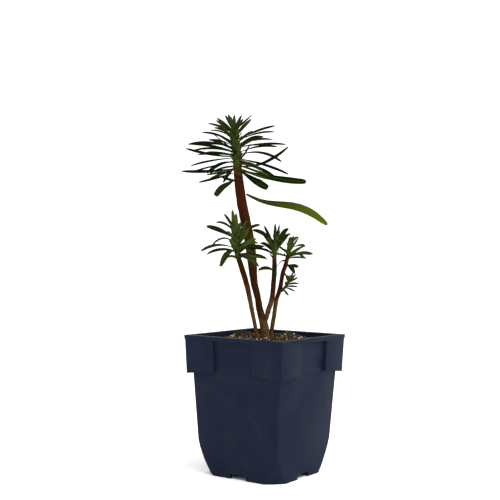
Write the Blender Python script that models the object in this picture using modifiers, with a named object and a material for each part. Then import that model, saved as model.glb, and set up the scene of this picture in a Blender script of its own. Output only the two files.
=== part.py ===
"""A potted euphorbia: a square nursery pot of soil with four leafy stems and one side shoot.

Run with: blender --background --python part.py
Metres, +Z up. The pot's sides face along X and Y, and its feet stand on z = 0.
"""

import math
from typing import NamedTuple

import bmesh
import bpy
from mathutils import Matrix, Vector

MM = 0.001

# ---- pot -------------------------------------------------------------------
POT_HEIGHT = 156.4 * MM
RIM_HALF = 66.1 * MM  # half the side of the square rim
RIM_BAND = 4.5 * MM  # height of the band round the mouth
RIM_LEAN = 0.3 * MM  # how far the band's foot stands in from its top
BODY_HALF_TOP = 60.9 * MM
BODY_HALF_BASE = 51.4 * MM
COLLAR_LOW = 118.5 * MM  # above this height the body steps out a little
COLLAR_STEP = 0.7 * MM
WALL = 1.5 * MM
FOOT_WALL = 2.1 * MM  # of the feet, below the base plate
CORNER_TURN = 45 * MM  # below this height a turned form rounds the four corners
FOOT_RADIUS = 61.4 * MM  # of the rounded corners where they meet the floor
TURN_RADIUS = 76.8 * MM  # of the rounded corners where they become square
TURN_RINGS = 6
TURN_BEND = 1.5  # above 1, the rounded corners bend in more sharply near the floor
BASE_LIFT = 5.6 * MM  # height of the base plate's underside
BASE_PLATE = 1.6 * MM
NOTCH_HALF = 10.6 * MM
NOTCH_HEIGHT = 5.2 * MM
DRAIN_RADIUS = 5 * MM
DRAIN_RING = 27 * MM  # distance of the four outer drain holes from the middle, along X and Y

# ---- the skirts that wrap the rim's corners ---------------------------------
SKIRT_RUN = 39.8 * MM
SKIRT_DROP = 43.2 * MM
SKIRT_RISE = 4.5 * MM  # how far the lower edge rises from the corner to the skirt's end
SKIRT_HALF_TOP = 65.4 * MM
SKIRT_HALF_LOW = 63.7 * MM
SKIRT_WALL = 1.3 * MM

# ---- soil -------------------------------------------------------------------
SOIL_MOUND = [(0, 156), (14, 155.5), (34, 154.3), (56, 153), (86, 149)]  # radius, height in mm
SOIL_REACH = 120 * MM  # of the turned mound, past the pot's corners
GAP = 0.3 * MM  # clearance between neighbouring pieces
SLEEVE_GAP = 0.36 * MM  # the same round a faceted stem

# ---- leaves -----------------------------------------------------------------
LEAF_THICK = 0.9 * MM
LEAF_FOLD = 0.14  # height of a leaf's edges over its midrib, as a share of its width
LEAF_LENGTHS = 6  # faces along a leaf
LEAF_PEAK = 0.62  # where a leaf is widest, as a share of its length
LEAF_NECK = 0.27  # width at the foot of a leaf, as a share of its greatest width
LEAF_POINT = 0.16  # the same at its tip
LEAF_SWELL = 1.4  # above 1, a leaf stays narrow for longer before it widens
TIP_GAP = 0.9 * MM  # between the end of a stem and its growing tip
TIP_MIDDLE = 0.75  # radius half-way up a growing tip, as a share of its stem's
TIP_END = 0.6  # radius of a growing tip's end, in mm
FOOT_CLEARANCE = 1.1 * MM  # between a stem's surface and the foot of a leaf

ROUND_STEPS = 48


class Stem(NamedTuple):
    """A stem's middle line, in mm from the pot's axis, and its radius in mm at each point."""

    line: list
    radius: list
    sides: int


class Leaf(NamedTuple):
    """Where a leaf leaves its stem, which way it grows, and its size, in mm and degrees."""

    height: float
    compass: float
    rise: float
    length: float
    droop: float
    width: float
    wave: float = 0  # how far it dips in its inner half and lifts in its outer half


STEMS = {
    "main": Stem(
        [(1, 1, 132), (-1, 0, 157), (-2.5, -2, 171), (-6, -4, 184), (-8, -5, 198), (-12, -7, 215),
         (-14.5, -7, 234), (-17, -8, 257), (-22, -10, 282), (-27, -13, 310), (-30, -14, 331),
         (-32, -15, 350), (-34, -16, 367), (-34, -18, 380)],
        [4.4, 5.3, 4.6, 3.8, 3.6, 3.9, 5.0, 5.7, 5.7, 5.6, 5.2, 4.4, 3.6, 3.0],
        12,
    ),
    "left": Stem(
        [(-4, -5, 136), (-7, -8, 157), (-9, -11, 173), (-11, -15, 192), (-13, -20, 213),
         (-16, -26, 232), (-19, -30, 246), (-20, -33, 257), (-20, -34, 268)],
        [2.0, 2.1, 2.1, 2.4, 2.8, 2.9, 2.7, 2.4, 2.0],
        8,
    ),
    "middle": Stem(
        [(-1, -2, 170), (1, -2, 175), (5, -1, 187), (9, -1, 199), (11, -2, 214), (13, -3, 230),
         (14, -5, 244), (15, -5, 255)],
        [2.8, 2.8, 2.7, 2.6, 2.6, 2.6, 2.3, 1.9],
        8,
    ),
    "right": Stem(
        [(1, 8, 138), (2.5, 8, 159), (5.5, 8.5, 178), (7, 11, 197), (10, 14, 209), (11, 16, 224),
         (14, 19, 237), (15, 22, 247), (17, 23, 256)],
        [2.2, 2.3, 2.3, 2.3, 2.3, 2.3, 2.3, 2.0, 1.7],
        8,
    ),
    "side": Stem(
        [(10, 13, 205), (15, 14.5, 209), (19, 15, 214), (21, 15.5, 217)],
        [1.6, 1.5, 1.4, 1.2],
        8,
    ),
}

# Stem whose surface the other one grows out of
FORKS = {"middle": "main", "side": "right"}

# Each stem ends in a growing tip: its last point, in mm, and the young leaves fused to it
TIPS = {
    "main": (
        (-34, -18, 396),
        [
            Leaf(384, -169, 28, 38, 5, 3.6),
            Leaf(382, -143, 41, 33, 10, 3.6),
            Leaf(382, 57, 50, 34, 4, 4.2),
            Leaf(386, -21, 50, 24, -2, 3.8),
            Leaf(387, 29, 44, 28, 1, 4.4),
            Leaf(388, -105, 52, 26, 3, 4.0),
            Leaf(387, 150, 54, 26, 4, 4.0),
            Leaf(390, -160, 66, 22, 2, 3.6),
        ],
    ),
    "left": (
        (-20, -34, 281),
        [
            Leaf(271, -159, 62, 30, 5, 4.0),
            Leaf(271, -118, 46, 28, 8, 4.0),
            Leaf(272, -28, 44, 30, 4, 4.6),
            Leaf(272, 60, 62, 24, 3, 4.2),
            Leaf(273, -75, 68, 22, 2, 4.4),
            Leaf(271, 140, 52, 26, 5, 3.8),
        ],
    ),
    "middle": (
        (16, -5, 267),
        [
            Leaf(258, -145, 72, 30, 7, 3.6),
            Leaf(259, 100, 64, 28, 4, 3.8),
            Leaf(260, 10, 78, 26, 1, 4.0),
            Leaf(258, -60, 60, 24, 4, 3.6),
        ],
    ),
    "right": (
        (18, 24, 266),
        [
            Leaf(258, 60, 56, 24, 6, 3.2),
            Leaf(259, -40, 62, 20, 3, 3.2),
            Leaf(259, 160, 52, 20, 4, 3.0),
        ],
    ),
    "side": (
        (24, 16, 223),
        [
            Leaf(219, 40, 60, 16, 3, 2.6),
            Leaf(219, -30, 30, 15, 4, 2.4),
            Leaf(219, 150, 56, 14, 3, 2.4),
            Leaf(218, 80, 10, 15, 3, 2.2),
        ],
    ),
}

# The long leaves of each crown, from the top down, each a piece of its own
LEAVES = {
    "main": [
        Leaf(377, 50, 27, 54, 5, 5.3),
        Leaf(375, 15, 27, 53, 13, 5.3),
        Leaf(374, -117, 26, 46, 10, 4.7),
        Leaf(370, 179, 27, 42, 9, 4.7),
        Leaf(369, 42, 12, 60, 7, 5.5),
        Leaf(369, -155, 18, 58, 13, 5.1),
        Leaf(367, -90, 9, 42, -7, 6.1),
        Leaf(366, 122, 20, 50, 12, 5.3),
        Leaf(364, -125, 15, 54, 7, 4.9),
        Leaf(363, -165, 20, 57, 15, 4.9),
        Leaf(362, 57, 26, 57, 14, 5.1),
        Leaf(361, -58, 8, 48, 8, 5.5),
        Leaf(359, 20, 23, 58, 29, 5.3),
        Leaf(359, -136, -3, 58, -11, 4.9),
        Leaf(358, -157, -5, 54, 4, 4.9),
        Leaf(357, 45, -8, 62, 8, 5.1),
        Leaf(357, -30, -18, 40, -26, 5.7),
        Leaf(355, 96, 4, 52, 10, 5.5),
        Leaf(355, -120, -17, 56, -1, 4.9),
        Leaf(354, -9, -6, 56, 15, 5.1),
        Leaf(352, 180, 13, 44, 20, 4.9),
        Leaf(351, 66, 2, 54, 16, 5.1),
        Leaf(349, 8, -13, 66, -34, 3.7),
        Leaf(348, 146, -4, 48, 12, 5.3),
        Leaf(345, -100, -17, 50, -5, 5.1),
        Leaf(342, -140, -22, 48, -5, 4.7),
    ],
    "left": [
        Leaf(265, -129, 29, 38, 5, 5.3),
        Leaf(263, 38, 46, 40, 11, 5.7),
        Leaf(259, -150, 43, 36, 27, 4.7),
        Leaf(253, -122, 24, 46, 21, 4.9),
        Leaf(250, -172, 16, 40, 14, 4.9),
        Leaf(248, -92, 34, 36, 34, 5.1),
        Leaf(247, -9, 6, 46, 10, 6.1),
    ],
    "middle": [
        Leaf(258, -138, 47, 38, 11, 5.5),
        Leaf(256, 30, 66, 36, 12, 5.1),
        Leaf(252, 62, 58, 38, 13, 5.1),
        Leaf(248, 161, 41, 36, 11, 4.9),
        Leaf(246, -156, 36, 34, 13, 4.9),
        Leaf(229, -99, 21, 28, 9, 4.5),
    ],
    "right": [
        Leaf(253, 88, 23, 34, 8, 4.7),
        Leaf(244, 60, 24, 36, 10, 4.7),
        Leaf(235, 104, 7, 34, 14, 4.7),
        Leaf(234, -29, 7, 32, 4, 4.9),
    ],
}

# The odd leaves below the main crown, which have names of their own
SINGLE_LEAVES = {
    "long_left_leaf": Leaf(346, -150, -12, 66, -10, 4.2),
    "broad_dark_leaf": Leaf(345, 39, -19, 84, -14, 7.4),
    "spoon_leaf": Leaf(346, 27, -41, 47, -8, 7.6),
    "drooping_leaf": Leaf(338, -148, -40, 34, 2, 6.8, 1.5),
    "long_yellow_leaf": Leaf(320, 36, -15, 104, 11, 10.5, 5),
}


def start_empty():
    """Remove every object of the scene the script starts in."""
    for thing in list(bpy.data.objects):
        bpy.data.objects.remove(thing, do_unlink=True)


def new_collection(name):
    """A collection of the scene, by name."""
    collection = bpy.data.collections.new(name)
    bpy.context.scene.collection.children.link(collection)
    return collection


def new_material(name, colour, roughness):
    """A plain material with one colour."""
    material = bpy.data.materials.new(name)
    material.use_nodes = True
    shader = material.node_tree.nodes["Principled BSDF"]
    shader.inputs["Base Color"].default_value = (*colour, 1)
    shader.inputs["Roughness"].default_value = roughness
    shader.inputs["Metallic"].default_value = 0
    return material


def add_object(name, data, collection, material=None):
    """An object of that data in a collection."""
    thing = bpy.data.objects.new(name, data)
    collection.objects.link(thing)
    if material:
        data.materials.append(material)
    return thing


def as_cutter(thing):
    """Mark an object as a tool that shapes others and isn't part of the plant."""
    thing.hide_render = True
    thing.display_type = "WIRE"
    return thing


def square_block(name, half_low, half_high, low, high, collection, material=None):
    """A square block whose sides lean, from half_low at its foot to half_high at its top."""
    mesh = bmesh.new()
    bmesh.ops.create_cube(mesh, size=2)
    for vertex in mesh.verts:
        half = half_high if vertex.co.z > 0 else half_low
        height = high if vertex.co.z > 0 else low
        vertex.co = Vector((vertex.co.x * half, vertex.co.y * half, height))
    data = bpy.data.meshes.new(name)
    mesh.to_mesh(data)
    mesh.free()
    return add_object(name, data, collection, material)


def box(name, centre, size, collection):
    """A plain box that cuts."""
    mesh = bmesh.new()
    bmesh.ops.create_cube(mesh, size=1)
    for vertex in mesh.verts:
        vertex.co = Vector([c + v * s for c, v, s in zip(centre, vertex.co, size)])
    data = bpy.data.meshes.new(name)
    mesh.to_mesh(data)
    mesh.free()
    return as_cutter(add_object(name, data, collection))


def turned(name, profile, collection):
    """A form turned about Z from (radius, height) points that run down its outer side."""
    data = bpy.data.meshes.new(name)
    points = [(radius, 0, height) for radius, height in profile]
    data.from_pydata(points, [(i, i + 1) for i in range(len(points) - 1)], [])
    thing = as_cutter(add_object(name, data, collection))
    screw = thing.modifiers.new("turn", "SCREW")
    screw.axis = "Z"
    screw.steps = ROUND_STEPS
    screw.render_steps = ROUND_STEPS
    screw.use_merge_vertices = True
    screw.merge_threshold = 0.01 * MM
    return thing


def boolean(thing, operation, other):
    """Cut, join or intersect an object with another one, or with a whole collection."""
    step = thing.modifiers.new(operation.lower(), "BOOLEAN")
    step.operation = operation
    step.solver = "EXACT"
    if isinstance(other, bpy.types.Collection):
        step.operand_type = "COLLECTION"
        step.collection = other
    else:
        step.object = other


def body_half(height):
    """Half the side of the pot's outer body at a height, before its corners are rounded."""
    return BODY_HALF_BASE + (BODY_HALF_TOP - BODY_HALF_BASE) * height / POT_HEIGHT


def body_form(name, inset, low, high, collection, material=None):
    """The pot's body between two heights, shrunk by inset: leaning sides with turned corners."""
    block = square_block(
        name, body_half(low) - inset, body_half(high) - inset, low, high, collection, material
    )
    profile = [(0, 2 * POT_HEIGHT), (2 * TURN_RADIUS, 2 * POT_HEIGHT)]
    for ring in range(TURN_RINGS + 1):
        share = 1 - ring / TURN_RINGS
        reach = FOOT_RADIUS + (TURN_RADIUS - FOOT_RADIUS) * (1 - (1 - share) ** TURN_BEND)
        profile.append((reach - inset, CORNER_TURN * share))
    below = low - BASE_LIFT
    profile += [(FOOT_RADIUS - inset, min(below, -BASE_LIFT)), (0, min(below, -BASE_LIFT))]
    turn = turned(name + "_corner_turn", profile, tools)
    boolean(block, "INTERSECT", turn)
    return block


def cross_cut(name, half_width, collection):
    """Two crossing bars, as tools, that clear the middle of all four sides."""
    long = 3 * RIM_HALF
    height = 2 * SKIRT_DROP
    centre = (0, 0, POT_HEIGHT - SKIRT_DROP / 2)
    return [
        box(name + "_x", centre, (long, 2 * half_width, height), collection),
        box(name + "_y", centre, (2 * half_width, long, height), collection),
    ]


def skirt_ramp(middle, low, turn):
    """A long tool whose leaning sides slant the skirts' lower edges, turned about Z."""
    mesh = bmesh.new()
    bmesh.ops.create_cube(mesh, size=2)
    for vertex in mesh.verts:
        high = vertex.co.z > 0
        across = vertex.co.x * (middle if high else RIM_HALF)
        vertex.co = Vector((across, vertex.co.y * 2 * RIM_HALF, low + (SKIRT_RISE if high else 0)))
    bmesh.ops.rotate(mesh, verts=mesh.verts, matrix=Matrix.Rotation(turn, 3, "Z"))
    data = bpy.data.meshes.new("skirt_ramp")
    mesh.to_mesh(data)
    mesh.free()
    return as_cutter(add_object("skirt_ramp", data, tools))


def make_collar():
    """The upper part of the body, as a tool to join: it stands out a little from the rest."""
    high = POT_HEIGHT - RIM_BAND / 2
    half_low = body_half(COLLAR_LOW) + COLLAR_STEP
    half_high = body_half(high) + COLLAR_STEP
    return as_cutter(square_block("collar", half_low, half_high, COLLAR_LOW, high, tools))


def make_skirts():
    """The four open-bottomed skirts round the rim's corners, as one tool to join to the pot."""
    low = POT_HEIGHT - SKIRT_DROP
    high = POT_HEIGHT - RIM_BAND / 2
    skirts = as_cutter(square_block("skirts", SKIRT_HALF_LOW, SKIRT_HALF_TOP, low, high, tools))
    hollow_low = low - GAP
    hollow_high = POT_HEIGHT - RIM_BAND
    hollow = as_cutter(
        square_block(
            "skirt_hollow",
            SKIRT_HALF_LOW - SKIRT_WALL,
            SKIRT_HALF_TOP - SKIRT_WALL,
            hollow_low,
            hollow_high,
            tools,
        )
    )
    middle = RIM_HALF - SKIRT_RUN
    for bar in cross_cut("hollow_gap", middle + SKIRT_WALL, tools):
        boolean(hollow, "DIFFERENCE", bar)
    for bar in cross_cut("skirt_gap", middle, tools):
        boolean(skirts, "DIFFERENCE", bar)
    for turn in (0, math.pi / 2):
        boolean(skirts, "DIFFERENCE", skirt_ramp(middle, low, turn))
    boolean(skirts, "DIFFERENCE", hollow)
    return skirts


def make_pot(material):
    """The square pot: body, rim band, corner skirts, notched foot and drained base."""
    pot = body_form("pot", 0, 0, POT_HEIGHT - RIM_BAND / 2, parts, material)
    band = as_cutter(
        square_block(
            "rim_band", RIM_HALF - RIM_LEAN, RIM_HALF, POT_HEIGHT - RIM_BAND, POT_HEIGHT, tools
        )
    )
    boolean(pot, "UNION", make_collar())
    boolean(pot, "UNION", make_skirts())
    boolean(pot, "UNION", band)
    floor_top = BASE_LIFT + BASE_PLATE
    cavity = body_form("cavity", WALL, floor_top, POT_HEIGHT + RIM_BAND, tools)
    boolean(pot, "DIFFERENCE", as_cutter(cavity))
    recess = body_form("foot_recess", FOOT_WALL, -BASE_LIFT, BASE_LIFT, tools)
    boolean(pot, "DIFFERENCE", as_cutter(recess))
    span = 3 * RIM_HALF
    for axis, size in (("x", (span, 2 * NOTCH_HALF)), ("y", (2 * NOTCH_HALF, span))):
        notch = box("notch_" + axis, (0, 0, 0), (*size, 2 * NOTCH_HEIGHT), tools)
        boolean(pot, "DIFFERENCE", notch)
    for index, (x, y) in enumerate([(0, 0), (1, 0), (0, 1), (-1, 0), (0, -1)]):
        drain = turned(
            f"drain_{index}",
            [(0, floor_top + MM), (DRAIN_RADIUS, floor_top + MM), (DRAIN_RADIUS, 0), (0, 0)],
            tools,
        )
        drain.modifiers["turn"].steps = ROUND_STEPS // 3
        drain.modifiers["turn"].render_steps = ROUND_STEPS // 3
        drain.location = (x * DRAIN_RING, y * DRAIN_RING, 0)
        boolean(pot, "DIFFERENCE", drain)
    return pot


def tube(name, line, radius, sides, collection, material=None):
    """A closed tube along points, with a radius at each one, read from a smooth curve."""
    data = bpy.data.curves.new(name, "CURVE")
    data.dimensions = "3D"
    data.bevel_depth = 1
    data.bevel_resolution = (sides - 4) // 2
    data.use_fill_caps = True
    spline = data.splines.new("POLY")
    points = smooth_line(line, radius)
    spline.points.add(len(points) - 1)
    for point, (place, width) in zip(spline.points, points):
        point.co = (*place, 1)
        point.radius = width
    thing = add_object(name, data, collection, material)
    bpy.context.view_layer.update()
    graph = bpy.context.evaluated_depsgraph_get()
    mesh = bpy.data.meshes.new_from_object(thing.evaluated_get(graph))
    solid = bmesh.new()
    solid.from_mesh(mesh)
    bmesh.ops.remove_doubles(solid, verts=solid.verts, dist=0.01 * MM)
    solid.to_mesh(mesh)
    solid.free()
    mesh.shade_smooth()
    mesh.set_sharp_from_angle(angle=math.radians(50))
    tubed = bpy.data.objects.new(name, mesh)
    tubed.matrix_world = thing.matrix_world
    bpy.data.objects.remove(thing)
    tubed.name = name
    collection.objects.link(tubed)
    return tubed


def smooth_line(line, radius):
    """Points twice as close as the given ones, on a smooth curve through them, with radii."""
    places = [Vector(point) * MM for point in line]
    found = []
    for i in range(len(places) - 1):
        before = places[max(i - 1, 0)]
        after = places[min(i + 2, len(places) - 1)]
        found.append((places[i], radius[i] * MM))
        middle = (9 * (places[i] + places[i + 1]) - before - after) / 16
        found.append((middle, (radius[i] + radius[i + 1]) / 2 * MM))
    found.append((places[-1], radius[-1] * MM))
    return found


def stem_at(name, height):
    """A stem's middle and radius, in metres, at a height in mm, its growing tip included."""
    stem = STEMS[name]
    line = stem.line + [TIPS[name][0]]
    radius = stem.radius + [TIP_END]
    for i in range(len(line) - 1):
        if line[i + 1][2] >= height or i == len(line) - 2:
            share = (height - line[i][2]) / (line[i + 1][2] - line[i][2])
            place = Vector(line[i]).lerp(Vector(line[i + 1]), share) * MM
            return place, (radius[i] + (radius[i + 1] - radius[i]) * share) * MM


def leaf_width(share):
    """A leaf's width at a share of its length, of its greatest width."""
    if share < LEAF_PEAK:
        rise = math.sin(share / LEAF_PEAK * math.pi / 2)
        return LEAF_NECK + (1 - LEAF_NECK) * rise ** LEAF_SWELL
    fall = (share - LEAF_PEAK) / (1 - LEAF_PEAK)
    return LEAF_POINT + (1 - LEAF_POINT) * (1 - fall ** 2)


def make_leaf(name, stem, leaf, free, collection, material):
    """A thin folded blade on a stem. A free one starts clear of the stem's surface."""
    foot, radius = stem_at(stem, leaf.height)
    compass = math.radians(leaf.compass)
    rise = math.radians(leaf.rise)
    outward = Vector((math.cos(compass), math.sin(compass), 0))
    along = outward * math.cos(rise) + Vector((0, 0, math.sin(rise)))
    across = Vector((-math.sin(compass), math.cos(compass), 0))
    length = leaf.length * MM
    start = (radius + FOOT_CLEARANCE) / math.cos(rise) / length if free else 0
    mesh = bmesh.new()
    bmesh.ops.create_grid(mesh, x_segments=2, y_segments=LEAF_LENGTHS, size=1)
    for vertex in mesh.verts:
        share = start + (1 - start) * (vertex.co.y + 1) / 2
        half = leaf.width * MM * leaf_width(share) / 2
        sag = (leaf.droop * share ** 2 + leaf.wave * math.sin(math.tau * share)) * MM
        steepness = leaf.droop * 2 * share + leaf.wave * math.tau * math.cos(math.tau * share)
        slope = (along * length - Vector((0, 0, steepness * MM))).normalized()
        upward = across.cross(slope) * -1
        fold = abs(vertex.co.x) * half * 2 * LEAF_FOLD
        middle = foot + along * length * share - Vector((0, 0, sag))
        vertex.co = middle + across * vertex.co.x * half + upward * fold
    bmesh.ops.recalc_face_normals(mesh, faces=mesh.faces)
    data = bpy.data.meshes.new(name)
    mesh.to_mesh(data)
    mesh.free()
    blade = add_object(name, data, collection, material)
    thick = blade.modifiers.new("thickness", "SOLIDIFY")
    thick.thickness = LEAF_THICK
    thick.offset = 0
    return blade


def make_tip(name, material):
    """A stem's growing tip: a tapering bud with its young leaves fused to it."""
    end, leaves = TIPS[name]
    stem = STEMS[name]
    last = Vector(stem.line[-1])
    lift = (Vector(end) - last).normalized() * (TIP_GAP / MM)
    line = [last + lift, last.lerp(Vector(end), 0.5), Vector(end)]
    radius = [stem.radius[-1], stem.radius[-1] * TIP_MIDDLE, TIP_END]
    tip = tube(name + "_tip", line, radius, 8, parts)
    tip.data.materials.append(material)
    young = bpy.data.collections.new(name + "_young_leaves")
    tools.children.link(young)
    for index, leaf in enumerate(leaves):
        blade = make_leaf(f"{name}_young_{index:02d}", name, leaf, False, young, material)
        as_cutter(blade)
    boolean(tip, "UNION", young)
    return tip


def make_stem(name, material):
    """A bare stem, cut clear of the stem it forks from."""
    stem = STEMS[name]
    piece = tube(name + "_stem", stem.line, stem.radius, stem.sides, parts)
    piece.data.materials.append(material)
    if name in FORKS:
        boolean(piece, "DIFFERENCE", stem_sleeve(FORKS[name], name))
    return piece


def stem_sleeve(name, user):
    """A tool that is a stem fattened by the gap that neighbours keep."""
    stem = STEMS[name]
    fat = [radius + SLEEVE_GAP / MM for radius in stem.radius]
    first = Vector(stem.line[0])
    line = [first - Vector((0, 0, GAP / MM))] + stem.line[1:]
    return as_cutter(tube(f"{user}_sleeve_of_{name}", line, fat, stem.sides, tools))


def make_soil(material):
    """The soil: it fills the pot up to a mound, and the stems stand in sockets in it."""
    floor = BASE_LIFT + BASE_PLATE + GAP
    soil = body_form("soil", WALL + GAP, floor, POT_HEIGHT + RIM_BAND, parts, material)
    profile = [(radius * MM, height * MM) for radius, height in SOIL_MOUND]
    profile += [(SOIL_REACH, profile[-1][1]), (SOIL_REACH, -GAP), (0, -GAP)]
    mound = turned("mound", profile, tools)
    boolean(soil, "INTERSECT", mound)
    for name in ("main", "left", "right"):
        boolean(soil, "DIFFERENCE", stem_sleeve(name, "soil"))
    return soil


def centre_on_footprint(things):
    """Hang the pieces on an empty that puts the origin under the middle of their box."""
    bpy.context.view_layer.update()
    graph = bpy.context.evaluated_depsgraph_get()
    lows, highs = [], []
    for thing in things:
        shown = thing.evaluated_get(graph)
        corners = [shown.matrix_world @ vertex.co for vertex in shown.data.vertices]
        lows.append([min(corner[axis] for corner in corners) for axis in range(2)])
        highs.append([max(corner[axis] for corner in corners) for axis in range(2)])
    middle = [(min(low[i] for low in lows) + max(high[i] for high in highs)) / 2 for i in (0, 1)]
    holder = bpy.data.objects.new("plant", None)
    parts.objects.link(holder)
    for thing in list(parts.objects) + list(tools.all_objects):
        if thing is not holder:
            thing.parent = holder
    holder.location = (-middle[0], -middle[1], 0)


start_empty()
parts = new_collection("potted_euphorbia")
tools = new_collection("cutters")

navy_plastic = new_material("navy_plastic", (0.028, 0.033, 0.055), 0.55)
peat = new_material("peat", (0.05, 0.03, 0.02), 0.95)
bark = new_material("bark", (0.17, 0.07, 0.03), 0.75)
leaf_green = new_material("leaf_green", (0.03, 0.09, 0.02), 0.55)
young_green = new_material("young_green", (0.08, 0.2, 0.05), 0.55)
fading_leaf = new_material("fading_leaf", (0.25, 0.3, 0.02), 0.55)

made = [make_pot(navy_plastic), make_soil(peat)]
for stem_name in STEMS:
    made.append(make_stem(stem_name, bark))
    made.append(make_tip(stem_name, young_green))
for stem_name, crown in LEAVES.items():
    for number, leaf in enumerate(crown, 1):
        leaf_name = f"{stem_name}_leaf_{number:02d}"
        made.append(make_leaf(leaf_name, stem_name, leaf, True, parts, leaf_green))
for leaf_name, leaf in SINGLE_LEAVES.items():
    finish = fading_leaf if leaf_name == "long_yellow_leaf" else leaf_green
    made.append(make_leaf(leaf_name, "main", leaf, True, parts, finish))
centre_on_footprint(made)
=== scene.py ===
"""The finished look of a potted euphorbia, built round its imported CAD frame.

A square nursery pot of soil holds one tall leaning stem, three shorter stems and a side shoot.
Each stem and leaf follows the middle line of the CAD piece that it stands for.
"""

import logging
import math
import random
from dataclasses import dataclass, field
from enum import Enum

import bmesh
import bpy
from mathutils import Matrix, Vector, noise


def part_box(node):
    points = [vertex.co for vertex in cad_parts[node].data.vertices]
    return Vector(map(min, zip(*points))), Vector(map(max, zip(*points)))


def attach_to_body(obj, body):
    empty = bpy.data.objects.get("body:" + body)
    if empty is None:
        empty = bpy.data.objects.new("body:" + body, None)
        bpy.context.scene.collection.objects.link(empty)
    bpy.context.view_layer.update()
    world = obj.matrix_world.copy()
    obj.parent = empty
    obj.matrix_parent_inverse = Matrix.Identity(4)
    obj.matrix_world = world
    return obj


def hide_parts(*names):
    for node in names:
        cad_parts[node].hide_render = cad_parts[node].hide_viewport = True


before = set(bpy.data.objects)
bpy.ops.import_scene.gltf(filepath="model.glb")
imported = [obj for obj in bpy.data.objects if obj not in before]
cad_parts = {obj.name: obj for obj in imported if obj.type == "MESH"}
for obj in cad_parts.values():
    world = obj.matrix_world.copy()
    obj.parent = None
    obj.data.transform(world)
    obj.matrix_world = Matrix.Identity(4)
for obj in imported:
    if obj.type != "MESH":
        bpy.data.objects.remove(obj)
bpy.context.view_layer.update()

MM = 0.001
GOLDEN_ANGLE = math.radians(137.508)
UP = Vector((0, 0, 1))
LEAF_THICKNESS = 0.34 * MM
log = logging.getLogger("potted_euphorbia")


# ---- Small shared tools ----


def blend(low: float, high: float, share: float) -> float:
    """The value a share of the way from low to high."""
    return low + (high - low) * share


def finish_mesh(mesh: bmesh.types.BMesh, name: str, material: bpy.types.Material,
                smooth_angle: float = 60.0) -> bpy.types.Object:
    """Turn a bmesh into a linked, smooth-shaded object at the origin.

    Args:
        mesh: The bmesh, which is freed here.
        name: The object's name.
        material: The material of all its faces.
        smooth_angle: Edges sharper than this many degrees stay crisp.

    Returns:
        The new object.
    """
    data = bpy.data.meshes.new(name)
    mesh.to_mesh(data)
    mesh.free()
    data.shade_smooth()
    data.set_sharp_from_angle(angle=math.radians(smooth_angle))
    data.materials.append(material)
    piece = bpy.data.objects.new(name, data)
    bpy.context.scene.collection.objects.link(piece)
    return piece


def attach(piece: bpy.types.Object, slot: str, *nodes: str) -> None:
    """Ride a piece on the plant's one body, and hide the CAD nodes that it stands for.

    Args:
        piece: The finished piece.
        slot: The material slot's name; not used.
        nodes: The CAD nodes that the piece replaces, if any.
    """
    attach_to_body(piece, "root")
    if nodes:
        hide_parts(*nodes)


def merged_copy(node: str) -> bmesh.types.BMesh:
    """Copy a CAD node's triangles and close their seams.

    Args:
        node: The CAD node.

    Returns:
        The copy.
    """
    mesh = bmesh.new()
    mesh.from_mesh(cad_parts[node].data)
    bmesh.ops.remove_doubles(mesh, verts=mesh.verts, dist=0.005 * MM)
    return mesh


def cut_through(mesh: bmesh.types.BMesh, place: Vector, normal: Vector) -> tuple[Vector, float]:
    """Where a plane cuts a mesh.

    Args:
        mesh: The mesh, which is left as it is.
        place: A point on the plane.
        normal: The plane's direction.

    Returns:
        The middle of the cut outline, and its mean distance from that middle.
    """
    sliced = mesh.copy()
    geometry = sliced.verts[:] + sliced.edges[:] + sliced.faces[:]
    cut = bmesh.ops.bisect_plane(sliced, geom=geometry, plane_co=place, plane_no=normal)
    edges = [e for e in cut["geom_cut"] if isinstance(e, bmesh.types.BMEdge)]
    total = sum(e.calc_length() for e in edges)
    middle, reach = place.copy(), 0.0
    if total > 0:
        middle = Vector((0, 0, 0))
        for e in edges:
            middle += (e.verts[0].co + e.verts[1].co) / 2 * e.calc_length() / total
        for e in edges:
            centre = (e.verts[0].co + e.verts[1].co) / 2
            reach += (centre - middle).length * e.calc_length() / total
    sliced.free()
    return middle, reach


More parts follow.
